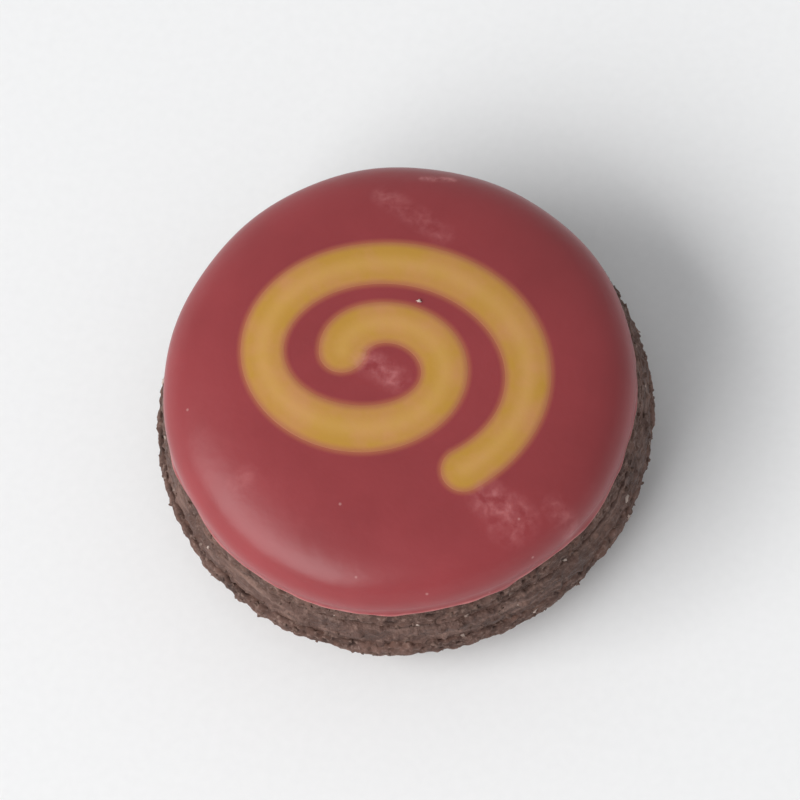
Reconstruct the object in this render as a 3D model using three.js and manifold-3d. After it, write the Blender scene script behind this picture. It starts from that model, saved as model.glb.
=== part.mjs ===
// A large chocolate macaron. Two round almond biscuits, each with a craggy baked foot, hold a
// dark ganache filling between them. The upper biscuit is dipped in red chocolate down to the
// top of its foot, and a yellow spiral is piped into the wet coat, so it has set flush with it.
// Millimetres, +Z up. The origin is under the macaron's middle, at the level it rests on.

import * as THREE from 'three';
import { mergeVertices } from 'three/addons/utils/BufferGeometryUtils.js';
import Module from 'manifold-3d';

// Heights, one layer on the next
const LOWER_DOME_HEIGHT = 4.4;
const LOWER_FOOT_HEIGHT = 3.4;
const FILLING_HEIGHT = 2.8;
const UPPER_FOOT_HEIGHT = 3.4;
const COAT_HEIGHT = 8.0;

const LOWER_TOP = LOWER_DOME_HEIGHT + LOWER_FOOT_HEIGHT;
const FILLING_TOP = LOWER_TOP + FILLING_HEIGHT;
const UPPER_FOOT_TOP = FILLING_TOP + UPPER_FOOT_HEIGHT;

// Radii. Each layer's edge is nearly flush with the next and swells a little between them.
const REST_RADIUS = 14.0; // flat spot under the lower biscuit
const LOWER_FOOT_EDGE = { low: 26.0, high: 26.2, swell: 0.75 };
const FILLING_EDGE = { low: 25.75, high: 25.5, swell: 0.15 };
const UPPER_FOOT_EDGE = { low: 25.2, high: 24.8, swell: 0.45 };
const COAT_RADIUS = 25.0;
const LOWER_SHIFT = -0.3; // the lower biscuit sits a little off centre, along X
const EDGE_FULLNESS = 0.5; // how square the swelling of an edge is: 1 is a plain arc of a sine

// The coat's rim and dome
const COAT_LIP = 0.6; // rounding of the rim's lower edge
const COAT_SQUARENESS = 3; // 2 is an ellipse, more gives a flatter top and a fuller shoulder
const COAT_UNEVENNESS = 0.12;

// The piped spiral
const STROKE_WIDTH = 4.9;
const SPIRAL_TURNS = 1.6; // clockwise, from the middle outwards
const SPIRAL_START_RADIUS = 3.1;
const SPIRAL_END_RADIUS = 15.6;
const SPIRAL_END_ANGLE = THREE.MathUtils.degToRad(-50);
const SPIRAL_STRETCH = 1.12; // along X, with as much taken off along Y
const SPIRAL_CENTRE_X = -2.0;
const STROKE_FLOOR = UPPER_FOOT_TOP + 5.6; // lowest level of the piped chocolate
const STROKE_GAP = 0.3; // room between the piped chocolate and its groove

// How finely the round forms are divided
const ROUGH_SIDES = 168;
const FOOT_ROWS = 7;
const SMOOTH_SIDES = 96;
const STROKE_STEPS = 56;

// Repeatable random numbers from 0 to 1, so that the crags are the same each time.
function randomNumbers(seed) {
  let state = seed;
  return () => {
    state = (state * 1664525 + 1013904223) % 4294967296;
    return state / 4294967296;
  };
}

// Waves that run round an edge. Each is a row of rounded bulges with sharp creases between
// them, and leans as it climbs. counts says how many bulges go round, and depth how deep the
// first row is; finer rows are shallower.
function frills(counts, depth, random) {
  const waves = counts.map((count) => ({
    count,
    depth: depth * Math.sqrt(counts[0] / count),
    phase: random() * Math.PI,
    lean: (random() - 0.5) * 5,
  }));
  return (angle, climb) => waves.reduce((sum, wave) => {
    const bulge = Math.abs(Math.sin((wave.count * angle) / 2 + wave.phase + wave.lean * climb));
    return sum + wave.depth * (bulge - 0.64);
  }, 0);
}

// Crumbs and pits: small bumps scattered over an edge. A pit is a bump inwards.
function crumbs(amount, height, random) {
  const spots = Array.from({ length: amount }, () => ({
    angle: random() * 2 * Math.PI,
    climb: random(),
    height: height * (random() < 0.6 ? 1 : -1) * (0.5 + 0.5 * random()),
    reach: 0.03 + 0.04 * random(),
  }));
  return (angle, climb) => spots.reduce((sum, spot) => {
    const around = Math.atan2(Math.sin(angle - spot.angle), Math.cos(angle - spot.angle));
    const away = (around / spot.reach) ** 2 + ((climb - spot.climb) / 0.35) ** 2;
    return sum + spot.height * Math.exp(-away);
  }, 0);
}

// A solid of revolution about Z from [radius, height] pairs that start and end on the axis.
function turned(profile, sides) {
  const points = profile.map(([radius, height]) => new THREE.Vector2(radius, height));
  const geometry = new THREE.LatheGeometry(points, sides);
  geometry.rotateX(Math.PI / 2);
  return geometry;
}

// Moves the skin of a turned solid in or out by relief(angle, climb), where climb runs from 0
// at the height low to 1 at the height high. Points nearer the axis than inner stay put.
function pushSkin(geometry, low, high, inner, relief) {
  const position = geometry.getAttribute('position');
  for (let i = 0; i < position.count; i += 1) {
    const [x, y, z] = [position.getX(i), position.getY(i), position.getZ(i)];
    const radius = Math.hypot(x, y);
    if (radius > inner) {
      const climb = THREE.MathUtils.clamp((z - low) / (high - low), 0, 1);
      const scale = (radius + relief(Math.atan2(y, x), climb)) / radius;
      position.setXY(i, x * scale, y * scale);
    }
  }
  return geometry;
}

// The edge of a layer: [radius, height] pairs from its bottom to its top.
function swellingEdge(bottom, top, edge, rows) {
  return Array.from({ length: rows + 1 }, (_, row) => {
    const climb = row / rows;
    const swell = edge.swell * Math.sin(Math.PI * climb) ** EDGE_FULLNESS;
    const radius = THREE.MathUtils.lerp(edge.low, edge.high, climb) + swell;
    return [radius, THREE.MathUtils.lerp(bottom, top, climb)];
  });
}

// The lower biscuit lies on its dome, with its craggy foot uppermost.
function lowerBiscuit() {
  const random = randomNumbers(7);
  const frill = frills([17, 43, 71], 0.45, random);
  const crumb = crumbs(110, 0.4, random);
  const domeRows = 4;
  const dome = Array.from({ length: domeRows }, (_, row) => {
    const turn = (row / domeRows) * (Math.PI / 2);
    const radius = THREE.MathUtils.lerp(REST_RADIUS, LOWER_FOOT_EDGE.low, Math.sin(turn));
    return [radius, LOWER_DOME_HEIGHT * (1 - Math.cos(turn))];
  });
  const foot = swellingEdge(LOWER_DOME_HEIGHT, LOWER_TOP, LOWER_FOOT_EDGE, FOOT_ROWS);
  const body = turned([[0, 0], ...dome, ...foot, [0, LOWER_TOP]], ROUGH_SIDES);
  pushSkin(body, LOWER_DOME_HEIGHT, LOWER_TOP, LOWER_FOOT_EDGE.low - 0.2, (angle, climb) => (
    frill(angle, climb) + crumb(angle, climb)
  ));
  return body.translate(LOWER_SHIFT, 0, 0);
}

// The filling is squeezed out nearly flush with the biscuits, a little more in some places.
function filling() {
  const random = randomNumbers(21);
  const frill = frills([5, 11, 29], 0.35, random);
  const edge = swellingEdge(LOWER_TOP, FILLING_TOP, FILLING_EDGE, 3);
  const body = turned([[0, LOWER_TOP], ...edge, [0, FILLING_TOP]], ROUGH_SIDES);
  return pushSkin(body, LOWER_TOP, FILLING_TOP, FILLING_EDGE.high - 1, frill);
}

// What shows of the upper biscuit is its foot, under the rim of the coat.
function upperFoot() {
  const random = randomNumbers(35);
  const frill = frills([19, 41, 67], 0.4, random);
  const crumb = crumbs(100, 0.35, random);
  const edge = swellingEdge(FILLING_TOP, UPPER_FOOT_TOP, UPPER_FOOT_EDGE, FOOT_ROWS);
  const body = turned([[0, FILLING_TOP], ...edge, [0, UPPER_FOOT_TOP]], ROUGH_SIDES);
  return pushSkin(body, FILLING_TOP, UPPER_FOOT_TOP, UPPER_FOOT_EDGE.high - 1, (angle, climb) => (
    frill(angle, climb) + crumb(angle, climb)
  ));
}

// The dipped dome before the groove is cut: a rounded lip, a full shoulder and a flattish top.
function coatDome() {
  const wave = frills([3, 5], COAT_UNEVENNESS, randomNumbers(3));
  const lipRows = 3;
  const lip = Array.from({ length: lipRows }, (_, row) => {
    const turn = (row / lipRows) * (Math.PI / 2);
    const inset = COAT_LIP * (1 - Math.sin(turn));
    return [COAT_RADIUS - inset, UPPER_FOOT_TOP + COAT_LIP * (1 - Math.cos(turn))];
  });
  const domeRows = 10;
  const power = 2 / COAT_SQUARENESS;
  const dome = Array.from({ length: domeRows }, (_, row) => {
    const turn = (row / domeRows) ** 1.2 * (Math.PI / 2);
    const rise = (COAT_HEIGHT - COAT_LIP) * Math.sin(turn) ** power;
    return [COAT_RADIUS * Math.cos(turn) ** power, UPPER_FOOT_TOP + COAT_LIP + rise];
  });
  const top = UPPER_FOOT_TOP + COAT_HEIGHT;
  const body = turned([[0, UPPER_FOOT_TOP], ...lip, ...dome, [0, top]], SMOOTH_SIDES);
  return pushSkin(body, UPPER_FOOT_TOP, top, COAT_RADIUS - 2, (angle) => wave(angle, 0));
}

// The middle line of the piped stroke, from the centre of the macaron outwards.
class Spiral extends THREE.Curve {
  getPoint(t, target = new THREE.Vector2()) {
    const angle = SPIRAL_END_ANGLE + (1 - t) * SPIRAL_TURNS * 2 * Math.PI;
    const radius = THREE.MathUtils.lerp(SPIRAL_START_RADIUS, SPIRAL_END_RADIUS, t);
    const x = SPIRAL_CENTRE_X + radius * Math.cos(angle) * SPIRAL_STRETCH;
    const y = (radius * Math.sin(angle)) / SPIRAL_STRETCH;
    return target.set(x, y);
  }
}

// The outline of a stroke of even width with round ends, as a solid that stands on STROKE_FLOOR.
function strokeSolid(halfWidth) {
  const curve = new Spiral();
  const spotAt = (t, turn) => {
    const tangent = curve.getTangentAt(t);
    const heading = Math.atan2(tangent.y, tangent.x) + turn;
    const side = new THREE.Vector2(Math.cos(heading), Math.sin(heading));
    return curve.getPointAt(t).addScaledVector(side, halfWidth);
  };
  const endSteps = 8;
  const steps = Array.from({ length: STROKE_STEPS + 1 }, (_, i) => i / STROKE_STEPS);
  const turns = Array.from({ length: endSteps - 1 }, (_, i) => ((i + 1) / endSteps) * Math.PI);
  const outline = [
    ...steps.map((t) => spotAt(t, -Math.PI / 2)),
    ...turns.map((turn) => spotAt(1, turn - Math.PI / 2)),
    ...steps.reverse().map((t) => spotAt(t, Math.PI / 2)),
    ...turns.map((turn) => spotAt(0, turn + Math.PI / 2)),
  ];
  const geometry = new THREE.ExtrudeGeometry(new THREE.Shape(outline), {
    depth: COAT_HEIGHT,
    bevelEnabled: false,
  });
  geometry.translate(0, 0, STROKE_FLOOR);
  return geometry;
}

const wasm = await Module();
wasm.setup();

// A closed geometry as a solid that can be cut and joined.
function toSolid(geometry) {
  const bare = geometry.clone();
  bare.deleteAttribute('normal');
  bare.deleteAttribute('uv');
  const merged = mergeVertices(bare, 1e-3);
  return new wasm.Manifold(new wasm.Mesh({
    numProp: 3,
    vertProperties: merged.getAttribute('position').array,
    triVerts: new Uint32Array(merged.index.array),
  }));
}

// A solid as a geometry again.
function toGeometry(solid) {
  const mesh = solid.getMesh();
  const geometry = new THREE.BufferGeometry();
  geometry.setAttribute('position', new THREE.BufferAttribute(mesh.vertProperties, 3));
  geometry.setIndex(new THREE.BufferAttribute(mesh.triVerts, 1));
  return geometry;
}

// The coat with a groove for the piped stroke, and the stroke that lies in it, both cut off
// level with the dome.
function coat() {
  return toGeometry(toSolid(coatDome()).subtract(toSolid(strokeSolid(STROKE_WIDTH / 2 + STROKE_GAP))));
}

function pipedSpiral() {
  return toGeometry(toSolid(coatDome()).intersect(toSolid(strokeSolid(STROKE_WIDTH / 2))));
}

const biscuit = { color: 0x57382c, roughness: 0.85, metalness: 0 };
const ganache = { color: 0x3b241d, roughness: 0.5, metalness: 0 };
const redChocolate = { color: 0x9a4643, roughness: 0.4, metalness: 0 };
const yellowChocolate = { color: 0xc89648, roughness: 0.45, metalness: 0 };

// One named mesh, shaded in facets as the solid is.
function piece(name, geometry, finish) {
  const flat = geometry.index ? geometry.toNonIndexed() : geometry;
  flat.computeVertexNormals();
  const mesh = new THREE.Mesh(flat, new THREE.MeshStandardMaterial(finish));
  mesh.name = name;
  return mesh;
}

const macaron = new THREE.Group();
macaron.add(
  piece('lower_biscuit', lowerBiscuit(), biscuit),
  piece('filling', filling(), ganache),
  piece('upper_biscuit', upperFoot(), biscuit),
  piece('red_coat', coat(), redChocolate),
  piece('piped_spiral', pipedSpiral(), yellowChocolate),
);

// The crags make the outline a little uneven, so its middle is brought back to the origin.
const middle = new THREE.Box3().setFromObject(macaron).getCenter(new THREE.Vector3());
macaron.position.set(-middle.x, -middle.y, 0);

export default macaron;
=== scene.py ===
import math
import random

import bmesh
import bpy
import numpy as np
from mathutils import Euler, Matrix, Vector, noise


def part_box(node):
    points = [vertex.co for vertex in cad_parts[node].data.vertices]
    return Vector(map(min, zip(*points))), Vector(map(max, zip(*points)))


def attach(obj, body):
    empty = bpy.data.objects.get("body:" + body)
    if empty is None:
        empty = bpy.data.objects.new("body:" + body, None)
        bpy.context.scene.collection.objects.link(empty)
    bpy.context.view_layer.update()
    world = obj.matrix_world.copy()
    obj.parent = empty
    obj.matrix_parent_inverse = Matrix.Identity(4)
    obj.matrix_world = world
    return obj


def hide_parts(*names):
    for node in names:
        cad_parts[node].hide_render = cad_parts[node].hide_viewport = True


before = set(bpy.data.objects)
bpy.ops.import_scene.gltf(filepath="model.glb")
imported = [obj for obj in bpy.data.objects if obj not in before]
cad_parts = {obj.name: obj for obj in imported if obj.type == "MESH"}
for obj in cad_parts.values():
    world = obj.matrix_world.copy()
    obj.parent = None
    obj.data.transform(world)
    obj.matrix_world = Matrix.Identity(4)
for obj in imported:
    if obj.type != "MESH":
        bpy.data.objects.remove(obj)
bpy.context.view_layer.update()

# Lower biscuit
# Half of a macaron: a meringue of almond flour, egg white, sugar and cocoa, piped as a round and
# baked. Its skin bakes smooth and matt, and the craggy foot swells out under it. This one lies
# on its dome, so the foot is uppermost, and the dome's tip is pressed a little flat.
MM = 0.001  # sizes in this file are in millimetres, and Blender's are in metres

low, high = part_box("lower_biscuit")
LOWER_MIDDLE = ((low.x + high.x) / 2 / MM, (low.y + high.y) / 2 / MM)
LOWER_TOP = high.z / MM
REST_RADIUS = 14.0
LOWER_DOME_HEIGHT = 4.4
LOWER_DOME_RADIUS = 26.0
LOWER_LEDGE_RADIUS = 26.2
LOWER_LEDGE_INSIDE = 24.4
LOWER_SWELL = 0.6
COVERED_RADIUS = 23.0
CRAGS_START_LEVEL = LOWER_DOME_HEIGHT - 0.5
CRAGS_FULL_LEVEL = LOWER_DOME_HEIGHT + 0.3
CRAGS_START_RADIUS = 24.0
CRAGS_FULL_RADIUS = 25.2
SPECKS_START_LEVEL = LOWER_DOME_HEIGHT - 0.6
# Height and reach of a pale band painted along the lower foot's edge: a painted highlight and
# rubbing.
HIGHLIGHT_AND_RUB_LEVEL = LOWER_DOME_HEIGHT + 0.5
HIGHLIGHT_AND_RUB_REACH = 0.7
FOOT_COLUMNS = 1000
DOME_STEPS = 40
EDGE_STEPS = 30
SKIN_SPACING = 0.4
FOOT_SPACING = 0.17


def add_mesh(name, points, faces, material, attributes=None):
    """A smooth-shaded object from points in millimetres, with a number for each point."""
    mesh = bpy.data.meshes.new(name)
    mesh.from_pydata((np.asarray(points) * MM).tolist(), [], faces)
    for label, values in (attributes or {}).items():
        mesh.attributes.new(label, "FLOAT", "POINT").data.foreach_set("value", values)
    mesh.polygons.foreach_set("use_smooth", [True] * len(mesh.polygons))
    mesh.materials.append(material)
    mesh.validate()
    piece = bpy.data.objects.new(name, mesh)
    bpy.context.scene.collection.objects.link(piece)
    return piece


def ring_faces(rows, columns):
    """Faces of a closed skin: a bottom point, rows of points round the axis, and a top point."""
    faces = []
    for row in range(rows - 1):
        start = 1 + row * columns
        for i in range(columns):
            j = (i + 1) % columns
            faces.append((start + i, start + j, start + columns + j, start + columns + i))
    top_row = 1 + (rows - 1) * columns
    top = top_row + columns
    for i in range(columns):
        j = (i + 1) % columns
        faces.append((0, 1 + j, 1 + i))
        faces.append((top_row + i, top_row + j, top))
    return faces


def spaced(outline, spacing):
    """The same outline of radius and height, with points about spacing apart."""
    outline = np.array(outline, float)
    along = np.r_[0, np.cumsum(np.hypot(*np.diff(outline, axis=0).T))]
    steps = np.linspace(0, along[-1], max(2, round(along[-1] / spacing)) + 1)
    return np.c_[np.interp(steps, along, outline[:, 0]), np.interp(steps, along, outline[:, 1])]


def edge_outline(low_z, high_z, low_radius, high_radius, swell):
    """The swelling edge of a foot or filling, from bottom to top."""
    climb = np.linspace(0, 1, EDGE_STEPS)
    bulge = np.sin(math.pi * climb) ** 0.5
    radius = low_radius + (high_radius - low_radius) * climb + swell * bulge
    return np.c_[radius, low_z + (high_z - low_z) * climb]


def layer(name, middle, outline, columns, relief, material):
    """A round layer: an outline in radius and height from the axis below to the axis above, with
    its skin pushed out by relief(x, y, z), which gives millimetres and is kept for the colour."""
    slope = np.gradient(outline, axis=0)
    slope /= np.linalg.norm(slope, axis=1)[:, None]
    angle = np.linspace(0, 2 * math.pi, columns, endpoint=False)
    points, depths = [], []
    for (radius, height), (along_radius, along_height) in zip(outline[1:-1], slope[1:-1]):
        for turn in angle:
            x, y = radius * math.cos(turn), radius * math.sin(turn)
            depth = relief(x, y, height)
            share = 1 + depth * along_height / radius
            points.append((x * share, y * share, height - depth * along_radius))
            depths.append(depth)
    points = np.array([(0, 0, outline[0][1]), *points, (0, 0, outline[-1][1])])
    points += (*middle, 0)
    return add_mesh(name, points, ring_faces(len(outline) - 2, columns), material,
                    {"relief": [0, *depths, 0]})


def bumps(x, y, z, width, height, depth=1):
    """Smooth random bumps about width across and height tall, from -depth to depth."""
    return depth * noise.noise(Vector((x / width, y / width, z / height)))


def swells(x, y, z, width, height, depth, step):
    """An uneven swell about width across and height tall, with two finer ones on it, each step
    times smaller than the last."""
    return depth * noise.fractal(Vector((x / width, y / width, z / height)), 1.0, step, 3)


def lumps(x, y, z, size, depth):
    """Rounded lumps about size across, with creases between them. From the bottom of a crease to
    the top of a lump is depth."""
    crease, roundness, mean = 0.6, 0.6, 0.6
    near, second = noise.voronoi(Vector((x, y, z)) / size)[0][:2]
    return depth * (min(1, (second - near) / crease) ** roundness - mean)


def crags(x, y, z):
    """How far a baked foot's skin stands out: an uneven swell, ruffles drawn up as it rose,
    bubbles of two sizes, and a fine grain, less the holes of burst bubbles."""
    swell = swells(x, y, z, width=4, height=3, depth=0.20, step=2.1)
    ruffles = bumps(x, y, z, width=0.9, height=4, depth=0.18)
    large_bubbles = lumps(x, y, z * 0.8, size=1.5, depth=0.12)
    small_bubbles = lumps(x, y, z + 50, size=0.75, depth=0.08)
    burst = 0.9 * max(0, bumps(x, y, z + 22, width=0.65, height=0.55) - 0.28)
    grain = bumps(x, y, z, width=0.35, height=0.35, depth=0.06)
    return swell + ruffles + large_bubbles + small_bubbles - burst + grain


def share_between(value, start, end):
    """How far value has come from start to end, from 0 to 1."""
    return min(1, max(0, (value - start) / (end - start)))


def lower_relief(x, y, z):
    """The foot is craggy. The dome below it is only a little wavy, and flat where it rests."""
    foot = share_between(z, CRAGS_START_LEVEL, CRAGS_FULL_LEVEL)
    foot *= share_between(math.hypot(x, y), CRAGS_START_RADIUS, CRAGS_FULL_RADIUS)
    long_wave = bumps(x, y, z, width=6, height=6, depth=0.1)
    short_wave = bumps(x, y, z, width=1.5, height=1.5, depth=0.03)
    above_rest = share_between(z, 0, 1.5)
    return (long_wave + short_wave) * above_rest + foot * crags(x, y, z)


def linear(hex_colour):
    """An sRGB hex colour as linear red, green, blue and alpha."""
    shares = [int(hex_colour[i:i + 2], 16) / 255 for i in (1, 3, 5)]
    light = [s / 12.92 if s <= 0.04045 else ((s + 0.055) / 1.055) ** 2.4 for s in shares]
    return (*light, 1)


def add_node(tree, kind, sockets=None, **settings):
    """Adds a shader node. A socket's value is a number, a colour or another node's output. Of a
    Mix node of colours, 0 is the share, 6 and 7 are the colours and output 2 is the mixture."""
    node = tree.nodes.new("ShaderNode" + kind)
    for name, value in settings.items():
        setattr(node, name, value)
    for name, value in (sockets or {}).items():
        if isinstance(value, bpy.types.NodeSocket):
            tree.links.new(value, node.inputs[name])
        else:
            node.inputs[name].default_value = value
    return node


def new_material(name):
    """An empty node material, its tree and its output node."""
    material = bpy.data.materials.new(name)
    material.use_nodes = True
    material.node_tree.nodes.clear()
    return material, material.node_tree, add_node(material.node_tree, "OutputMaterial")


def per_metre(size):
    """The scale of a texture whose noise or cells measure size millimetres across."""
    return 1 / (size * MM)


def bent(tree, place, size, reach):
    """The place pushed up to reach millimetres by a noise of this size, so that a pattern laid
    over it is less regular."""
    push = add_node(tree, "TexNoise", {"Vector": place, "Scale": per_metre(size), "Detail": 3})
    return add_node(tree, "VectorMath", {
        0: push.outputs["Color"], 1: [reach * MM] * 3, 2: place,
    }, operation="MULTIPLY_ADD").outputs[0]


def baked_biscuit():
    """Chocolate almond meringue, baked: matt and dry, with painted shade in the pits and painted
    light on what stands out. The feet show specks of almond skin 0.3 to 0.6 mm across, the dome's
    skin hardly any, and a pale band is painted along the lower edge of the lower foot: a painted
    highlight where that edge catches the light, and rubbing."""
    material, tree, output = new_material("baked_biscuit")
    place = add_node(tree, "TexCoord").outputs["Object"]
    relief = add_node(tree, "Attribute", attribute_name="relief").outputs["Fac"]
    level = add_node(tree, "SeparateXYZ", {0: place}).outputs["Z"]
    foot = add_node(tree, "MapRange", {
        0: level, "From Min": SPECKS_START_LEVEL * MM, "From Max": LOWER_DOME_HEIGHT * MM,
        "To Min": 0.25,
    })
    patches = add_node(tree, "TexNoise", {"Vector": place, "Scale": per_metre(2.4), "Detail": 4})
    crumb = add_node(tree, "TexNoise", {
        "Vector": place, "Scale": per_metre(0.48), "Detail": 5, "Roughness": 0.68,
    })
    specks = add_node(tree, "TexVoronoi", {
        "Vector": bent(tree, place, size=0.67, reach=1.6), "Scale": per_metre(1.05),
    })
    # Painted shade and light: darker in the pits and paler on what stands out, following the relief.
    relief_shade_and_light = add_node(tree, "MapRange", {
        0: relief, "From Min": -0.27, "From Max": 0.33,
    })
    brown = add_node(tree, "Mix", {
        0: relief_shade_and_light.outputs[0], 6: linear("#37251f"), 7: linear("#7a5c52"),
    }, data_type="RGBA")
    warm = add_node(tree, "MapRange", {
        0: patches.outputs[0], "From Min": 0.5, "From Max": 0.68, "To Max": 0.6,
    })
    warmed = add_node(tree, "Mix", {
        0: warm.outputs[0], 6: brown.outputs[2], 7: linear("#6c4e43"),
    }, data_type="RGBA")
    grain = add_node(tree, "MapRange", {
        0: crumb.outputs[0], "From Min": 0.54, "From Max": 0.68, "To Max": 0.5,
    })
    grained = add_node(tree, "Mix", {
        0: grain.outputs[0], 6: warmed.outputs[2], 7: linear("#967b70"),
    }, data_type="RGBA")
    speck = add_node(tree, "MapRange", {
        0: specks.outputs["Distance"], "From Min": 0.30, "From Max": 0.16, "To Max": 0.4,
    })
    few = add_node(tree, "Math", {0: speck.outputs[0], 1: foot.outputs[0]}, operation="MULTIPLY")
    speckled = add_node(tree, "Mix", {
        0: few.outputs[0], 6: grained.outputs[2], 7: linear("#9a8074"),
    }, data_type="RGBA")
    # A pale band painted along the lower foot's widest edge: a painted highlight where it catches
    # the light, and rubbing.
    above_edge = add_node(tree, "Math", {0: level, 1: HIGHLIGHT_AND_RUB_LEVEL * MM}, operation="SUBTRACT")
    from_edge = add_node(tree, "Math", {0: above_edge.outputs[0]}, operation="ABSOLUTE")
    near_edge = add_node(tree, "MapRange", {
        0: from_edge.outputs[0], "From Min": HIGHLIGHT_AND_RUB_REACH * MM, "From Max": 0.1 * MM,
        "To Max": 0.75,
    })
    unbroken = add_node(tree, "MapRange", {
        0: crumb.outputs[0], "From Min": 0.44, "From Max": 0.56, "To Min": 0.25,
    })
    highlight_and_rub = add_node(tree, "Math", {
        0: near_edge.outputs[0], 1: unbroken.outputs[0],
    }, operation="MULTIPLY")
    coloured = add_node(tree, "Mix", {
        0: highlight_and_rub.outputs[0], 6: speckled.outputs[2], 7: linear("#94796d"),
    }, data_type="RGBA")
    dry = add_node(tree, "MapRange", {
        0: crumb.outputs[0], "From Min": 0.35, "From Max": 0.65, "To Min": 0.85, "To Max": 0.55,
    })
    bump = add_node(tree, "Bump", {
        "Height": crumb.outputs[0], "Strength": 0.7, "Distance": 0.3 * MM,
    })
    shader = add_node(tree, "BsdfPrincipled", {
        "Base Color": coloured.outputs[2], "Roughness": dry.outputs[0], "Normal": bump.outputs[0],
        "IOR": 1.45, "Specular IOR Level": 0.3,
    })
    tree.links.new(shader.outputs[0], output.inputs[0])
    return material


biscuit = baked_biscuit()
dome_turn = np.linspace(0, math.pi / 2, DOME_STEPS)
lower_dome = np.c_[
    REST_RADIUS + (LOWER_DOME_RADIUS - REST_RADIUS) * np.sin(dome_turn),
    LOWER_DOME_HEIGHT * (1 - np.cos(dome_turn)),
]
lower_foot = edge_outline(
    LOWER_DOME_HEIGHT, LOWER_TOP, LOWER_DOME_RADIUS, LOWER_LEDGE_RADIUS, LOWER_SWELL)
lower_outline = np.vstack([
    [(0, 0), (REST_RADIUS / 2, 0)],
    spaced(lower_dome, SKIN_SPACING)[:-1],
    spaced([*lower_foot, (LOWER_LEDGE_INSIDE, LOWER_TOP)], FOOT_SPACING),
    [(COVERED_RADIUS, LOWER_TOP), (0, LOWER_TOP)],
])
lower_biscuit = layer("lower_biscuit_baked", LOWER_MIDDLE, lower_outline, FOOT_COLUMNS,
                      lower_relief, biscuit)
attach(lower_biscuit, "root")
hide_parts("lower_biscuit")

# Filling
# Dark chocolate ganache, piped on one biscuit and squeezed out by the other until it is nearly
# flush with both. It sets soft and satin, dragged by the spatula and rough with crumbs. It and
# the half above were set down a little to one side of the lower biscuit's middle.
low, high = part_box("filling")
FILLING_TOP = high.z / MM
FILLING_LAP = 0.25
FILLING_LOW_RADIUS = 26.0
FILLING_HIGH_RADIUS = 25.35
FILLING_SWELL = 0.25
FILLING_COLUMNS = 800
FILLING_SPACING = 0.2
SET_ASIDE = 0.3
UPPER_MIDDLE = (LOWER_MIDDLE[0] + SET_ASIDE, LOWER_MIDDLE[1])


def squeezed(x, y, z):
    """Uneven bulging, drag marks along the edge and crumbs under its skin."""
    outside = share_between(math.hypot(x, y), COVERED_RADIUS, 25)
    bulging = swells(x, y, z, width=5, height=3, depth=0.26, step=2.0)
    drag = bumps(x, y, z, width=2.2, height=0.7, depth=0.12)
    crumbs = 0.6 * max(0, bumps(x, y, z + 20, width=0.8, height=0.8) - 0.1)
    return outside * (bulging + drag + crumbs)


def set_ganache():
    """Set ganache: satin, darker than the biscuit, with a faint cocoa haze, paler streaks about
    1 mm wide where it was dragged along, and fine crumbs 0.2 to 0.5 mm across worked into it."""
    material, tree, output = new_material("set_ganache")
    place = add_node(tree, "TexCoord").outputs["Object"]
    cloud = add_node(tree, "TexNoise", {"Vector": place, "Scale": per_metre(3.3), "Detail": 5})
    grain = add_node(tree, "TexNoise", {"Vector": place, "Scale": per_metre(0.6), "Detail": 4})
    brown = add_node(tree, "Mix", {
        0: cloud.outputs[0], 6: linear("#35231c"), 7: linear("#6d5148"),
    }, data_type="RGBA")
    flat = add_node(tree, "VectorMath", {0: place, 1: (1, 1, 6)}, operation="MULTIPLY")
    drags = add_node(tree, "TexNoise", {
        "Vector": flat.outputs[0], "Scale": per_metre(6), "Detail": 4,
    })
    drag = add_node(tree, "MapRange", {
        0: drags.outputs[0], "From Min": 0.50, "From Max": 0.68, "To Max": 0.7,
    })
    dragged = add_node(tree, "Mix", {
        0: drag.outputs[0], 6: brown.outputs[2], 7: linear("#86695e"),
    }, data_type="RGBA")
    specks = add_node(tree, "TexVoronoi", {
        "Vector": bent(tree, place, size=0.67, reach=1.6), "Scale": per_metre(1),
    })
    speck = add_node(tree, "MapRange", {
        0: specks.outputs["Distance"], "From Min": 0.34, "From Max": 0.18, "To Max": 0.45,
    })
    colour = add_node(tree, "Mix", {
        0: speck.outputs[0], 6: dragged.outputs[2], 7: linear("#83685d"),
    }, data_type="RGBA")
    gloss = add_node(tree, "MapRange", {
        0: cloud.outputs[0], "From Min": 0.3, "From Max": 0.7, "To Min": 0.42, "To Max": 0.7,
    })
    bump = add_node(tree, "Bump", {
        "Height": grain.outputs[0], "Strength": 0.9, "Distance": 0.5 * MM,
    })
    shader = add_node(tree, "BsdfPrincipled", {
        "Base Color": colour.outputs[2], "Roughness": gloss.outputs[0], "Normal": bump.outputs[0],
        "IOR": 1.46, "Specular IOR Level": 0.35,
    })
    tree.links.new(shader.outputs[0], output.inputs[0])
    return material


filling_edge = edge_outline(LOWER_TOP - FILLING_LAP, FILLING_TOP + FILLING_LAP,
                            FILLING_LOW_RADIUS, FILLING_HIGH_RADIUS, FILLING_SWELL)
filling_outline = np.vstack([
    [(0, filling_edge[0][1]), (COVERED_RADIUS, filling_edge[0][1])],
    spaced(filling_edge, FILLING_SPACING),
    [(COVERED_RADIUS, filling_edge[-1][1]), (0, filling_edge[-1][1])],
])
filling = layer("filling_ganache", UPPER_MIDDLE, filling_outline, FILLING_COLUMNS,
                squeezed, set_ganache())
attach(filling, "root")
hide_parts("filling")

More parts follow.
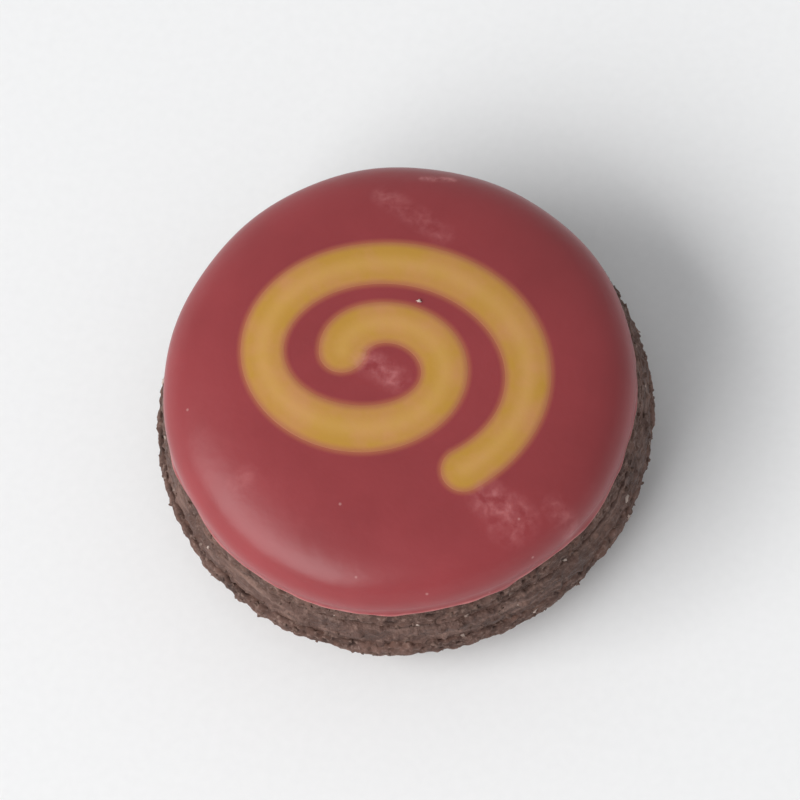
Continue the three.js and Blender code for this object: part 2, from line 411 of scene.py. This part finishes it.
# Upper biscuit
# The other half, dome up. The red coat hides its dome, so only its foot shows, a little narrower
# than the lower one, with crumbs loosened where it was dipped.
low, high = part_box("upper_biscuit")
UPPER_FOOT_TOP = high.z / MM
UPPER_FOOT_RADIUS = 25.1
UPPER_LEDGE_RADIUS = 24.75
UPPER_SWELL = 0.4
UPPER_HIDDEN_RADIUS = 22.5
UPPER_FOOT_INSIDE = 23.6
UPPER_LEDGE_INSIDE = 24.2


def upper_relief(x, y, z):
    """The foot is craggy, with other crags than the lower one, and flat where it is hidden."""
    return share_between(math.hypot(x, y), 23.2, 24.4) * crags(x + 90, y, z)


upper_foot = edge_outline(
    FILLING_TOP, UPPER_FOOT_TOP, UPPER_FOOT_RADIUS, UPPER_LEDGE_RADIUS, UPPER_SWELL)
upper_edge = [
    (UPPER_FOOT_INSIDE, FILLING_TOP), *upper_foot, (UPPER_LEDGE_INSIDE, UPPER_FOOT_TOP),
]
upper_outline = np.vstack([
    [(0, FILLING_TOP), (UPPER_HIDDEN_RADIUS, FILLING_TOP)],
    spaced(upper_edge, FOOT_SPACING),
    [(UPPER_HIDDEN_RADIUS, UPPER_FOOT_TOP), (0, UPPER_FOOT_TOP)],
])
upper_biscuit = layer("upper_biscuit_baked", UPPER_MIDDLE, upper_outline, FOOT_COLUMNS,
                      upper_relief, biscuit)
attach(upper_biscuit, "root")
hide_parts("upper_biscuit")

# Loose crumbs
# Bits of baked foot and chopped almond, 0.3 to 1 mm across, that broke off in the dipping and
# stuck to the ganache and the feet. One pale grain lies on the coat.
CRUMB_COUNT = 760
CRUMB_SMALLEST = 0.30
CRUMB_LARGEST = 0.85
CRUMB_SUNK_SHARE = 0.27
CRUMB_PALEST = 0.7
CRUMBS_START_LEVEL = LOWER_DOME_HEIGHT + 0.6
CRUMBS_END_LEVEL = UPPER_FOOT_TOP - 0.3
GRAIN_PLACE = (1.9, 7.0, 21.87)
GRAIN_SIZE = 0.55
GRAIN_PALENESS = 0.75
crumb_draw = random.Random(7)
side_layers = [
    (LOWER_TOP, LOWER_MIDDLE, lower_foot, lower_relief),
    (FILLING_TOP, UPPER_MIDDLE, filling_edge, squeezed),
    (UPPER_FOOT_TOP, UPPER_MIDDLE, upper_foot, upper_relief),
]


def side_crumbs():
    """Crumbs strewn over the side, sunk in its skin, more of them small than large, few of them
    pale. Each is a centre, a size across and a paleness from 0 to 1."""
    crumbs = []
    for _ in range(CRUMB_COUNT):
        turn = crumb_draw.uniform(0, 2 * math.pi)
        height = crumb_draw.uniform(CRUMBS_START_LEVEL, CRUMBS_END_LEVEL)
        size = CRUMB_SMALLEST + (CRUMB_LARGEST - CRUMB_SMALLEST) * crumb_draw.random() ** 2.5
        middle, edge, relief = next(side[1:] for side in side_layers if height < side[0])
        radius = np.interp(height, edge[:, 1], edge[:, 0])
        radius += relief(radius * math.cos(turn), radius * math.sin(turn), height)
        radius -= CRUMB_SUNK_SHARE * size
        centre = (middle[0] + radius * math.cos(turn), middle[1] + radius * math.sin(turn), height)
        crumbs.append((centre, size, CRUMB_PALEST * crumb_draw.random() ** 24))
    return crumbs


def crumb_mesh(crumbs):
    """One mesh of many broken, uneven lumps, each turned its own way, and their paleness."""
    ball = bmesh.new()
    bmesh.ops.create_icosphere(ball, subdivisions=2, radius=0.5)
    shell = [v.co.copy() for v in ball.verts]
    shell_faces = [[v.index for v in face.verts] for face in ball.faces]
    ball.free()
    points, faces, paleness = [], [], []
    for centre, size, pale in crumbs:
        start = len(points)
        shift = Vector(centre) * 3
        turn = Euler([crumb_draw.uniform(0, 2 * math.pi) for _ in range(3)]).to_matrix()
        width = crumb_draw.uniform(0.7, 1)
        thickness = crumb_draw.uniform(0.6, 1)
        stretch = Matrix.Diagonal((1.1, width, thickness)) * size
        for corner in shell:
            broken = 1.1 * noise.noise(corner * 3 + shift)
            pitted = 0.6 * noise.noise(corner * 7 + shift)
            points.append(tuple(Vector(centre) + turn @ (stretch @ corner) * (1 + broken + pitted)))
        faces += [[start + i for i in face] for face in shell_faces]
        paleness += [pale] * len(shell)
    return points, faces, paleness


def almond_crumbs():
    """Crumbs of biscuit and almond: matt brown, with a few pale ones."""
    material, tree, output = new_material("almond_crumbs")
    place = add_node(tree, "TexCoord").outputs["Object"]
    pale = add_node(tree, "Attribute", attribute_name="paleness").outputs["Fac"]
    grain = add_node(tree, "TexNoise", {"Vector": place, "Scale": per_metre(0.38), "Detail": 4})
    brown = add_node(tree, "Mix", {
        0: grain.outputs[0], 6: linear("#412e28"), 7: linear("#7c6358"),
    }, data_type="RGBA")
    colour = add_node(tree, "Mix", {
        0: pale, 6: brown.outputs[2], 7: linear("#dcc9be"),
    }, data_type="RGBA")
    bump = add_node(tree, "Bump", {
        "Height": grain.outputs[0], "Strength": 0.5, "Distance": 0.2 * MM,
    })
    shader = add_node(tree, "BsdfPrincipled", {
        "Base Color": colour.outputs[2], "Roughness": 0.6, "Normal": bump.outputs[0], "IOR": 1.45,
        "Specular IOR Level": 0.3,
    })
    tree.links.new(shader.outputs[0], output.inputs[0])
    return material


crumb_points, crumb_faces, crumb_paleness = crumb_mesh(
    [*side_crumbs(), (GRAIN_PLACE, GRAIN_SIZE, GRAIN_PALENESS)])
crumbs = add_mesh("loose_crumbs", crumb_points, crumb_faces, almond_crumbs(),
                  {"paleness": crumb_paleness})
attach(crumbs, "root")

# Piped spiral's path
# Yellow chocolate, piped into the red while it was still wet, so that it sank in and set flush.
# The path comes before the coat, because the coat has a groove where the yellow lies.
STROKE_WIDTH = 4.9
STROKE_STEPS = 420
SPIRAL_TURNS = 1.6
SPIRAL_START_RADIUS = 3.1
SPIRAL_END_RADIUS = 15.6
SPIRAL_END_ANGLE = math.radians(-50)
SPIRAL_STRETCH = 1.12
SPIRAL_CENTRE_X = -2.0


def spiral_at(t):
    """Points of the stroke's middle line for an array of t from 0 inside to 1 outside."""
    angle = SPIRAL_END_ANGLE + (1 - t) * SPIRAL_TURNS * 2 * math.pi
    radius = SPIRAL_START_RADIUS + (SPIRAL_END_RADIUS - SPIRAL_START_RADIUS) * t
    x = SPIRAL_CENTRE_X + radius * np.cos(angle) * SPIRAL_STRETCH
    return np.c_[x, radius * np.sin(angle) / SPIRAL_STRETCH]


def half_width(t):
    """Half the stroke's width: a hand-held bag lets out a little more or less."""
    return STROKE_WIDTH / 2 * (1 + 0.04 * np.sin(17 * t + 1) + 0.03 * np.sin(31 * t))


fine_t = np.linspace(0, 1, 4000)
fine_path = spiral_at(fine_t)
travelled = np.r_[0, np.cumsum(np.hypot(*np.diff(fine_path, axis=0).T))]
stroke_t = np.interp(np.linspace(0, travelled[-1], STROKE_STEPS + 1), travelled, fine_t)
stroke_path = spiral_at(stroke_t)


def stroke_share(points):
    """How far each point lies from the stroke's middle line, where 1 is the stroke's edge. The
    points are taken in batches, to keep the tables of distances small."""
    batch = 4000
    shares = np.empty(len(points))
    for start in range(0, len(points), batch):
        part = points[start:start + batch]
        away = np.hypot(part[:, None, 0] - stroke_path[:, 0], part[:, None, 1] - stroke_path[:, 1])
        nearest = away.argmin(axis=1)
        shares[start:start + batch] = away.min(axis=1) / half_width(stroke_t[nearest])
    return shares


# Red coat
# White chocolate coloured red. The biscuit's dome was dipped into it and turned up again, so it
# ran level, set with a flat top and a full round shoulder, and gathered in a bead at the rim.
low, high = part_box("red_coat")
COAT_MIDDLE = ((low.x + high.x) / 2 / MM, (low.y + high.y) / 2 / MM)
COAT_WAVE_ROOM = 0.06
COAT_WAVE_DEPTH = 0.05
COAT_TOP = high.z / MM - COAT_WAVE_ROOM
COAT_RADIUS = 25.0
COAT_SQUARENESS = 3
COAT_LIP = 0.6
COAT_BASE = UPPER_FOOT_TOP + COAT_LIP
COAT_COLUMNS = 640
COAT_SPACING = 0.27
SHOULDER_RADIUS = 24.4
BEAD_RADIUS = 0.38
BEAD_STANDS_OUT = 0.05
BEAD_DROP = 0.1
BEAD_START_ANGLE = -140
BEAD_END_ANGLE = 35
BEAD_STEPS = 16
WALL_POINTS = [(24.95, 0.85), (24.96, 1.3)]  # radius, and height above the biscuit's foot
WALL_TO_DOME = 0.15
RIM_SPACING = 0.1
RIM_FADED_LEVEL = UPPER_FOOT_TOP + 1.4
RIM_FULL_LEVEL = UPPER_FOOT_TOP + 0.4
HANG_START_RADIUS = 23.6
HANG_FULL_RADIUS = 24.4
THICK_START_RADIUS = 24.5
SPREAD_START_RADIUS = 20.0
SPREAD_FULL_RADIUS = 24.0
GROOVE_DEPTH = 1.0
GROOVE_EDGE = 0.86  # half stroke widths from its middle line, as the next is
GROOVE_FLOOR = 0.64
STROKE_LOWEST_LEVEL = COAT_BASE + 2.0
FAR_FROM_STROKE = 9.0
RUN_COLOUR = "#ae6846"
# A pale line painted along the bead: a painted highlight, and rubbing.
RIM_HIGHLIGHT_AND_WEAR = 0.7
RIM_HIGHLIGHT_AND_WEAR_LEVEL = UPPER_FOOT_TOP + 0.8 * BEAD_RADIUS
RIM_HIGHLIGHT_AND_WEAR_REACH = 0.65 * BEAD_RADIUS

# Waves round the rim. Each is a depth, the number of waves to the coat's radius, and a place in
# the noise. The hang is in millimetres, and the thickening a share of the bead.
RIM_HANG = [(0.24, 2.5, 7), (0.16, 9, 2), (0.07, 26, 4)]
RIM_THICKENING = [(0.5, 3, 1), (0.3, 11, 5)]

# The coat's outline isn't quite a circle. Each is a depth in millimetres, a number of waves round
# it, and a start in radians.
RIM_SPREAD = [(0.09, 3, 1), (0.07, 5, 4), (0.04, 11, 0)]


def coat_height(x, y):
    """Height of the coat's top over points in its own plane, in millimetres. It waves a little,
    and less in the outer sixth of its radius."""
    share = np.clip(np.hypot(x, y) / COAT_RADIUS, 0, 1)
    dome = (1 - share ** COAT_SQUARENESS) ** (1 / COAT_SQUARENESS)
    wave = np.array([
        bumps(a, b, 27, width=9, height=9) + bumps(a, b, 27, width=3, height=3, depth=0.25)
        for a, b in zip(x, y)
    ])
    free = np.clip((1 - share) * 6, 0, 1)
    return COAT_BASE + (COAT_TOP - COAT_BASE) * dome + COAT_WAVE_DEPTH * free * (wave - 0.5)


def coat_rim():
    """Outline of the coat below its dome: the hidden underside, the bead, which stands out a
    little, and the foot of the wall above it."""
    middle_radius = COAT_RADIUS + BEAD_STANDS_OUT - BEAD_RADIUS
    middle_height = UPPER_FOOT_TOP + BEAD_RADIUS - BEAD_DROP
    turn = np.radians(np.linspace(BEAD_START_ANGLE, BEAD_END_ANGLE, BEAD_STEPS))
    bead = np.c_[
        middle_radius + BEAD_RADIUS * np.cos(turn), middle_height + BEAD_RADIUS * np.sin(turn),
    ]
    return [
        (UPPER_HIDDEN_RADIUS, UPPER_FOOT_TOP), (UPPER_LEDGE_INSIDE, UPPER_FOOT_TOP),
        *bead,
        *((radius, UPPER_FOOT_TOP + height) for radius, height in WALL_POINTS),
    ]


def coat_outline():
    """Points of radius and height up the coat's dome, from just above the rim to short of the
    axis."""
    turn = np.linspace(0.03, math.pi / 2, 3000)
    power = 2 / COAT_SQUARENESS
    radius = COAT_RADIUS * np.cos(turn) ** power
    height = COAT_BASE + (COAT_TOP - COAT_BASE) * np.sin(turn) ** power
    above = height > coat_rim()[-1][1] + WALL_TO_DOME
    return spaced(np.c_[radius[above], height[above]], COAT_SPACING)[:-1]


def rim_waves(across, along, waves):
    """The sum of these waves at points of a circle of radius 1."""
    return np.array([
        sum(depth * noise.noise(Vector((many * x, many * y, start))) for depth, many, start in waves)
        for x, y in zip(across, along)
    ])


def coat_rows():
    """Rows of points from the underside over the rim to the middle of the top."""
    angle = np.linspace(0, 2 * math.pi, COAT_COLUMNS, endpoint=False)
    across, along = np.cos(angle), np.sin(angle)
    hang = rim_waves(across, along, RIM_HANG)
    thick = rim_waves(across, along, RIM_THICKENING)
    spread = sum(depth * np.sin(many * angle + start) for depth, many, start in RIM_SPREAD)
    rows = []
    for r, z in spaced(coat_rim(), RIM_SPACING):
        near_edge = share_between(z, RIM_FADED_LEVEL, RIM_FULL_LEVEL)
        hanging = share_between(r, HANG_START_RADIUS, HANG_FULL_RADIUS) * near_edge
        wide = r + spread * share_between(r, SPREAD_START_RADIUS, SPREAD_FULL_RADIUS)
        wide += near_edge * thick * max(0, r - THICK_START_RADIUS)
        rows.append(np.c_[wide * across, wide * along, z + hanging * hang])
    for r, z in coat_outline():
        wide = r + spread * share_between(r, SPREAD_START_RADIUS, SPREAD_FULL_RADIUS)
        level = np.full(COAT_COLUMNS, z)
        if r < SHOULDER_RADIUS:
            level = coat_height(r * across, r * along)
        rows.append(np.c_[wide * across, wide * along, level])
    return rows


# Smears of bloom on the coat, and a short pale streak along the far edge of its top: from where
# to where in millimetres from its middle, how wide to each side, and how strong. A smear has its
# full strength over the inner quarter of its width.
SMEAR_FULLNESS = 1.3
SMEARS = [
    ((12.0, -13.2), (15.6, -14.6), 2.4, 1.0),
    ((18.8, -12.6), (20.2, -13.6), 1.6, 0.7),
    ((13.8, -16.0), (15.0, -16.4), 1.7, 0.7),
    ((-2.9, -0.1), (0.6, -1.8), 1.9, 1.0),
    ((-4.4, 19.4), (2.6, 15.4), 1.7, 0.55),
    # a short pale streak along the far edge of the top
    ((-0.8, 22.3), (2.4, 22.7), 0.55, 1.7),
    ((-13.9, -14.9), (-13.0, -14.0), 1.6, 0.4),
]


def touched(points):
    """How strongly each point, measured from the coat's middle, has been touched."""
    most = np.zeros(len(points))
    for start, end, reach, strength in SMEARS:
        way = np.subtract(end, start)
        along = np.clip((points - start) @ way / (way @ way), 0, 1)
        away = np.hypot(*(points - start - along[:, None] * way).T)
        fade = np.clip(SMEAR_FULLNESS * (1 - away / reach), 0, 1)
        most = np.maximum(most, strength * fade)
    return most


def with_bloom(tree, place, colour):
    """Adds pale bloom to a colour where the chocolate has been touched: a haze with a broken net
    of soft lines 0.4 mm wide and 1 to 2 mm apart."""
    mark = add_node(tree, "Attribute", attribute_name="touched").outputs["Fac"]
    net = add_node(tree, "TexVoronoi", {
        "Vector": bent(tree, place, size=1.67, reach=2.0), "Scale": per_metre(1.8),
    }, feature="DISTANCE_TO_EDGE")
    line = add_node(tree, "MapRange", {
        0: net.outputs["Distance"], "From Min": 0.26, "From Max": 0.0, "To Min": 0.46,
    }, interpolation_type="SMOOTHSTEP")
    breaks = add_node(tree, "TexNoise", {
        "Vector": place, "Scale": per_metre(1.54), "Detail": 4, "Roughness": 0.6,
    })
    left = add_node(tree, "MapRange", {
        0: breaks.outputs[0], "From Min": 0.36, "From Max": 0.66, "To Max": 0.29,
    })
    traces = add_node(tree, "Math", {0: line.outputs[0], 1: left.outputs[0]}, operation="MULTIPLY")
    bloom = add_node(tree, "Math", {0: traces.outputs[0], 1: mark}, operation="MULTIPLY")
    return add_node(tree, "Mix", {
        0: bloom.outputs[0], 6: colour, 7: linear("#f0a4a4"),
    }, data_type="RGBA").outputs[2]


def red_chocolate():
    """Coloured white chocolate, dipped and set: waxy and satin, a little see-through, its skin
    uneven over 2 to 3 mm and its tone and gloss over 9 mm. It has pale bloom where it was touched,
    is orange where the yellow has run into it, and bears a few specks of dust 0.2 to 0.4 mm across.
    A pale line is painted along the rim's bead: a painted highlight where the bead catches the
    light, and rubbing."""
    material, tree, output = new_material("red_chocolate")
    place = add_node(tree, "TexCoord").outputs["Object"]
    share = add_node(tree, "Attribute", attribute_name="stroke_share").outputs["Fac"]
    cloud = add_node(tree, "TexNoise", {"Vector": place, "Scale": per_metre(9), "Detail": 5})
    red = add_node(tree, "Mix", {
        0: cloud.outputs[0], 6: linear("#823235"), 7: linear("#983c40"),
    }, data_type="RGBA")
    run = add_node(tree, "MapRange", {
        0: share, "From Min": 1.25, "From Max": 0.98, "To Max": 0.62,
    }, interpolation_type="SMOOTHSTEP")
    stained = add_node(tree, "Mix", {
        0: run.outputs[0], 6: red.outputs[2], 7: linear(RUN_COLOUR),
    }, data_type="RGBA")
    # A pale line painted along the bead, in patches: a painted highlight, and rubbing.
    rim = add_node(tree, "Attribute", attribute_name="rim").outputs["Fac"]
    rim_patches = add_node(tree, "TexNoise", {"Vector": place, "Scale": per_metre(3.8), "Detail": 4})
    rim_patchiness = add_node(tree, "MapRange", {
        0: rim_patches.outputs[0], "From Min": 0.38, "From Max": 0.58, "To Min": 0.5,
    })
    highlight_and_wear = add_node(tree, "Math", {0: rim, 1: rim_patchiness.outputs[0]}, operation="MULTIPLY")
    with_highlight_and_wear = add_node(tree, "Mix", {
        0: highlight_and_wear.outputs[0], 6: stained.outputs[2], 7: linear("#c27c7a"),
    }, data_type="RGBA")
    gloss = add_node(tree, "MapRange", {
        0: cloud.outputs[0], "From Min": 0.3, "From Max": 0.7, "To Min": 0.31, "To Max": 0.37,
    })
    specks = add_node(tree, "TexVoronoi", {"Vector": place, "Scale": per_metre(3.85)})
    dust = add_node(tree, "MapRange", {
        0: specks.outputs["Distance"], "From Min": 0.05, "From Max": 0.025, "To Max": 0.4,
    })
    dusted = add_node(tree, "Mix", {
        0: dust.outputs[0], 6: with_highlight_and_wear.outputs[2], 7: linear("#c99a96"),
    }, data_type="RGBA")
    fine = add_node(tree, "TexNoise", {"Vector": place, "Scale": per_metre(2.6), "Detail": 5})
    bump = add_node(tree, "Bump", {
        "Height": fine.outputs[0], "Strength": 0.18, "Distance": 0.3 * MM,
    })
    shader = add_node(tree, "BsdfPrincipled", {
        "Base Color": with_bloom(tree, place, dusted.outputs[2]), "Roughness": gloss.outputs[0],
        "Normal": bump.outputs[0], "IOR": 1.46, "Specular IOR Level": 0.38,
        "Subsurface Weight": 0.12, "Subsurface Radius": (1.0, 0.3, 0.2),
        "Subsurface Scale": MM,
    })
    tree.links.new(shader.outputs[0], output.inputs[0])
    return material


rows = coat_rows()
coat_points = np.vstack(rows)
on_top = coat_points[:, 2] > STROKE_LOWEST_LEVEL
share = np.full(len(coat_points), FAR_FROM_STROKE)
share[on_top] = stroke_share(coat_points[on_top][:, :2])
sunk = np.clip((GROOVE_EDGE - share) / (GROOVE_EDGE - GROOVE_FLOOR), 0, 1)
coat_points[:, 2] -= GROOVE_DEPTH * sunk * sunk * (3 - 2 * sunk)
top_middle = (0, 0, coat_height(np.zeros(1), np.zeros(1))[0])
coat_points = np.vstack([(0, 0, UPPER_FOOT_TOP), coat_points, top_middle])
coat_points[:, :2] += COAT_MIDDLE
share = [FAR_FROM_STROKE, *share, stroke_share(np.zeros((1, 2)))[0]]

# The bead is painted pale, less and less above and below it: a painted highlight where its round
# edge catches the light, and rubbing where it catches every knock.
from_bead = np.abs(coat_points[:, 2] - RIM_HIGHLIGHT_AND_WEAR_LEVEL) / RIM_HIGHLIGHT_AND_WEAR_REACH
rim_highlight_and_wear = RIM_HIGHLIGHT_AND_WEAR * np.clip(1.2 - from_bead, 0, 1)
coat = add_mesh("red_coat_dipped", coat_points, ring_faces(len(rows), COAT_COLUMNS),
                red_chocolate(), {"stroke_share": share, "rim": rim_highlight_and_wear,
                                  "touched": touched(coat_points[:, :2] - COAT_MIDDLE)})
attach(coat, "root")
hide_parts("red_coat")

# Piped spiral
# The yellow chocolate itself. It lies in the groove, its thin edge laps a little over the red,
# and its tone is uneven where the bag paused.
STROKE_RINGS = 14
END_STEPS = 28
STROKE_LIFT = 0.05
UNDERSIDE_DEPTH = 0.03
GROOVE_GAP = 0.1
EDGE_DEPTH = 0.01


def spiral_outline():
    """The middle line's point and the outline's point for each step round the stroke."""
    tangent = np.gradient(stroke_path, axis=0)
    heading = np.arctan2(tangent[:, 1], tangent[:, 0])
    half = half_width(stroke_t)
    middles, edges = [], []
    side_steps = [(i, -math.pi / 2) for i in range(STROKE_STEPS + 1)]
    end_steps = [(STROKE_STEPS, math.pi * (j / END_STEPS - 0.5)) for j in range(1, END_STEPS)]
    back_steps = [(i, math.pi / 2) for i in range(STROKE_STEPS, -1, -1)]
    start_steps = [(0, math.pi * (j / END_STEPS + 0.5)) for j in range(1, END_STEPS)]
    for i, turn in [*side_steps, *end_steps, *back_steps, *start_steps]:
        way = np.array([math.cos(heading[i] + turn), math.sin(heading[i] + turn)])
        middles.append(stroke_path[i])
        edges.append(stroke_path[i] + half[i] * way)
    return np.array(middles), np.array(edges)


def spiral_rings(middles, edges):
    """Rings of points from the middle line to the edge, first of the underside and then of the
    top, which shares the underside's last ring, and how far out each point lies, from 0 to 1."""
    points, shares_out = [], []
    for is_top in (False, True):
        for ring in range(STROKE_RINGS + (not is_top)):
            out = math.sin(math.pi / 2 * (ring / STROKE_RINGS))
            spot = middles + (edges - middles) * out
            if ring == STROKE_RINGS:
                rise = -EDGE_DEPTH
            elif is_top:
                rise = STROKE_LIFT * (1 - out ** 4)
            else:
                fill = share_between(out, GROOVE_EDGE, GROOVE_FLOOR)
                rise = -UNDERSIDE_DEPTH - (GROOVE_DEPTH - GROOVE_GAP) * fill ** 2
            points.append(np.c_[spot, coat_height(spot[:, 0], spot[:, 1]) + rise])
            shares_out += [out] * len(middles)
    return np.vstack(points), shares_out


def spiral_faces(around):
    """Faces between those rings, each ring with this many points."""
    under = [ring * around for ring in range(STROKE_RINGS + 1)]
    above = [ring * around for ring in range(STROKE_RINGS + 1, 2 * STROKE_RINGS + 1)]
    faces = []
    for starts, is_top in ((under, False), ([*above, under[-1]], True)):
        for inner, outer in zip(starts, starts[1:]):
            for i in range(around):
                j = (i + 1) % around
                face = (inner + i, inner + j, outer + j, outer + i)
                faces.append(face[::-1] if is_top else face)
    return faces


def yellow_chocolate():
    """Coloured white chocolate, piped and set flush: satin, a little see-through, uneven in tone
    over 6 mm, paler along the middle of the stroke and orange at its edge, where the red has run
    in."""
    material, tree, output = new_material("yellow_chocolate")
    place = add_node(tree, "TexCoord").outputs["Object"]
    edge = add_node(tree, "Attribute", attribute_name="edge").outputs["Fac"]
    cloud = add_node(tree, "TexNoise", {
        "Vector": place, "Scale": per_metre(6), "Detail": 4, "Roughness": 0.6,
    })
    tone = add_node(tree, "MapRange", {0: cloud.outputs[0], "From Min": 0.41, "From Max": 0.68})
    yellow = add_node(tree, "Mix", {
        0: tone.outputs[0], 6: linear("#b68836"), 7: linear("#be8653"),
    }, data_type="RGBA")
    middle = add_node(tree, "MapRange", {
        0: edge, "From Min": 0.65, "From Max": 0.0, "To Max": 0.35,
    }, interpolation_type="SMOOTHSTEP")
    paler = add_node(tree, "Mix", {
        0: middle.outputs[0], 6: yellow.outputs[2], 7: linear("#cfa25d"),
    }, data_type="RGBA")
    run = add_node(tree, "MapRange", {
        0: edge, "From Min": 0.66, "From Max": 1.0, "To Max": 0.9,
    }, interpolation_type="SMOOTHSTEP")
    stained = add_node(tree, "Mix", {
        0: run.outputs[0], 6: paler.outputs[2], 7: linear(RUN_COLOUR),
    }, data_type="RGBA")
    fine = add_node(tree, "TexNoise", {"Vector": place, "Scale": per_metre(2.6), "Detail": 5})
    bump = add_node(tree, "Bump", {
        "Height": fine.outputs[0], "Strength": 0.2, "Distance": 0.3 * MM,
    })
    shader = add_node(tree, "BsdfPrincipled", {
        "Base Color": with_bloom(tree, place, stained.outputs[2]), "Roughness": 0.42,
        "Normal": bump.outputs[0], "IOR": 1.46, "Specular IOR Level": 0.4,
        "Subsurface Weight": 0.12, "Subsurface Radius": (1.0, 0.6, 0.25),
        "Subsurface Scale": MM,
    })
    tree.links.new(shader.outputs[0], output.inputs[0])
    return material


middles, edges = spiral_outline()
spiral_points, spiral_edge = spiral_rings(middles, edges)
spiral_touched = touched(spiral_points[:, :2])
spiral_points[:, :2] += COAT_MIDDLE
spiral = add_mesh("piped_spiral_set", spiral_points, spiral_faces(len(middles)),
                  yellow_chocolate(), {"edge": spiral_edge, "touched": spiral_touched})

# The two sides of the stroke meet in its middle line, and the weld joins their points there.
weld = spiral.modifiers.new("weld", "WELD")
weld.merge_threshold = 1e-7
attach(spiral, "root")
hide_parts("piped_spiral")

# Floor
# A plain sheet of pale matt paper that the macaron rests on, curved up into a low wall all round
# so that it also backs the object in a level view.
FLOOR_FIRST_RADIUS = 80.0
FLOOR_RADIUS = 1600.0
FLOOR_RINGS = 20
FLOOR_COLUMNS = 96
SWEEP_RADIUS = 300.0
SWEEP_STEPS = 13
WALL_HEIGHT = 420.0


def matt_paper():
    """Uncoated white paper: matt, with a barely visible tone in its fibres. They are drawn about
    1 mm wide, far coarser than real ones, so that they show."""
    material, tree, output = new_material("matt_paper")
    place = add_node(tree, "TexCoord").outputs["Object"]
    fibres = add_node(tree, "TexNoise", {"Vector": place, "Scale": per_metre(1.1), "Detail": 3})
    tone = add_node(tree, "Mix", {
        0: fibres.outputs[0], 6: linear("#ececec"), 7: linear("#f1f1f1"),
    }, data_type="RGBA")
    shader = add_node(tree, "BsdfPrincipled", {"Base Color": tone.outputs[2], "Roughness": 0.95})
    tree.links.new(shader.outputs[0], output.inputs[0])
    return material


def floor_sheet():
    """Rings of points from the middle of the floor to the top of the wall, and their faces."""
    bend = np.linspace(0, math.pi / 2, SWEEP_STEPS)
    flat = np.linspace(FLOOR_FIRST_RADIUS, FLOOR_RADIUS, FLOOR_RINGS)[:-1]
    outline = [
        *((r, 0) for r in flat),
        *zip(FLOOR_RADIUS + SWEEP_RADIUS * np.sin(bend), SWEEP_RADIUS * (1 - np.cos(bend))),
        (FLOOR_RADIUS + SWEEP_RADIUS, WALL_HEIGHT),
    ]
    angle = np.linspace(0, 2 * math.pi, FLOOR_COLUMNS, endpoint=False)
    points = [(0, 0, 0)]
    points += [(r * math.cos(a), r * math.sin(a), z) for r, z in outline for a in angle]
    faces = [(0, 1 + i, 1 + (i + 1) % FLOOR_COLUMNS) for i in range(FLOOR_COLUMNS)]
    for row in range(len(outline) - 1):
        inner = 1 + row * FLOOR_COLUMNS
        outer = inner + FLOOR_COLUMNS
        for i in range(FLOOR_COLUMNS):
            j = (i + 1) % FLOOR_COLUMNS
            faces.append((inner + i, outer + i, outer + j, inner + j))
    return points, faces


floor = add_mesh("floor_sheet", *floor_sheet(), matt_paper())

# Camera
# It looks down as steeply as in the photograph, from the same distance, turned so that the
# macaron's upright leans to the left of the picture. A longer lens lets the macaron fill it.
CAMERA_AZIMUTH = math.radians(23)
CAMERA_ELEVATION = math.radians(67)
CAMERA_ROLL = math.radians(14.4)
CAMERA_DISTANCE = 425.0
PICTURE_WIDTH = 85.0
SENSOR = 36.0
AIM = Vector((0, 0, 11.0))


def way_from(azimuth, elevation):
    """The direction from the object to a camera or light at this azimuth and elevation."""
    return Vector((
        math.sin(azimuth) * math.cos(elevation),
        -math.cos(azimuth) * math.cos(elevation),
        math.sin(elevation),
    ))


back = way_from(CAMERA_AZIMUTH, CAMERA_ELEVATION)
level_right = Vector((math.cos(CAMERA_AZIMUTH), math.sin(CAMERA_AZIMUTH), 0))
level_up = back.cross(level_right)
right = math.cos(CAMERA_ROLL) * level_right - math.sin(CAMERA_ROLL) * level_up
lens = bpy.data.cameras.new("camera")
lens.sensor_width = SENSOR
lens.lens = SENSOR * CAMERA_DISTANCE / PICTURE_WIDTH
lens.clip_start = 0.01
camera = bpy.data.objects.new("camera", lens)
bpy.context.scene.collection.objects.link(camera)
turned = Matrix((right, back.cross(right), back)).transposed().to_4x4()
camera.matrix_world = Matrix.Translation((AIM + back * CAMERA_DISTANCE) * MM) @ turned
bpy.context.scene.camera = camera

# Light
# Soft daylight from a wide window at the left of the picture, higher than the macaron, and a
# white room that fills the shade.
WINDOW_TURN = math.radians(71)
WINDOW_ELEVATION = math.radians(40)
WINDOW_DISTANCE = 2200.0
WINDOW_WIDTH = 2400.0
WINDOW_HEIGHT = 1300.0
WINDOW_POWER = 54.5
ROOM_BRIGHTNESS = 0.48
to_window = way_from(CAMERA_AZIMUTH - WINDOW_TURN, WINDOW_ELEVATION)
daylight = bpy.data.lights.new("window", "AREA")
daylight.shape = "RECTANGLE"
daylight.size = WINDOW_WIDTH * MM
daylight.size_y = WINDOW_HEIGHT * MM
daylight.energy = WINDOW_POWER
window = bpy.data.objects.new("window", daylight)
window.location = (AIM + to_window * WINDOW_DISTANCE) * MM
window.rotation_euler = to_window.to_track_quat("Z", "Y").to_euler()
bpy.context.scene.collection.objects.link(window)

room = bpy.data.worlds.new("white_room")
room.use_nodes = True
room.node_tree.nodes["Background"].inputs["Color"].default_value = linear("#f4f6f8")
room.node_tree.nodes["Background"].inputs["Strength"].default_value = ROOM_BRIGHTNESS
bpy.context.scene.world = room
bpy.context.scene.view_settings.view_transform = "Standard"
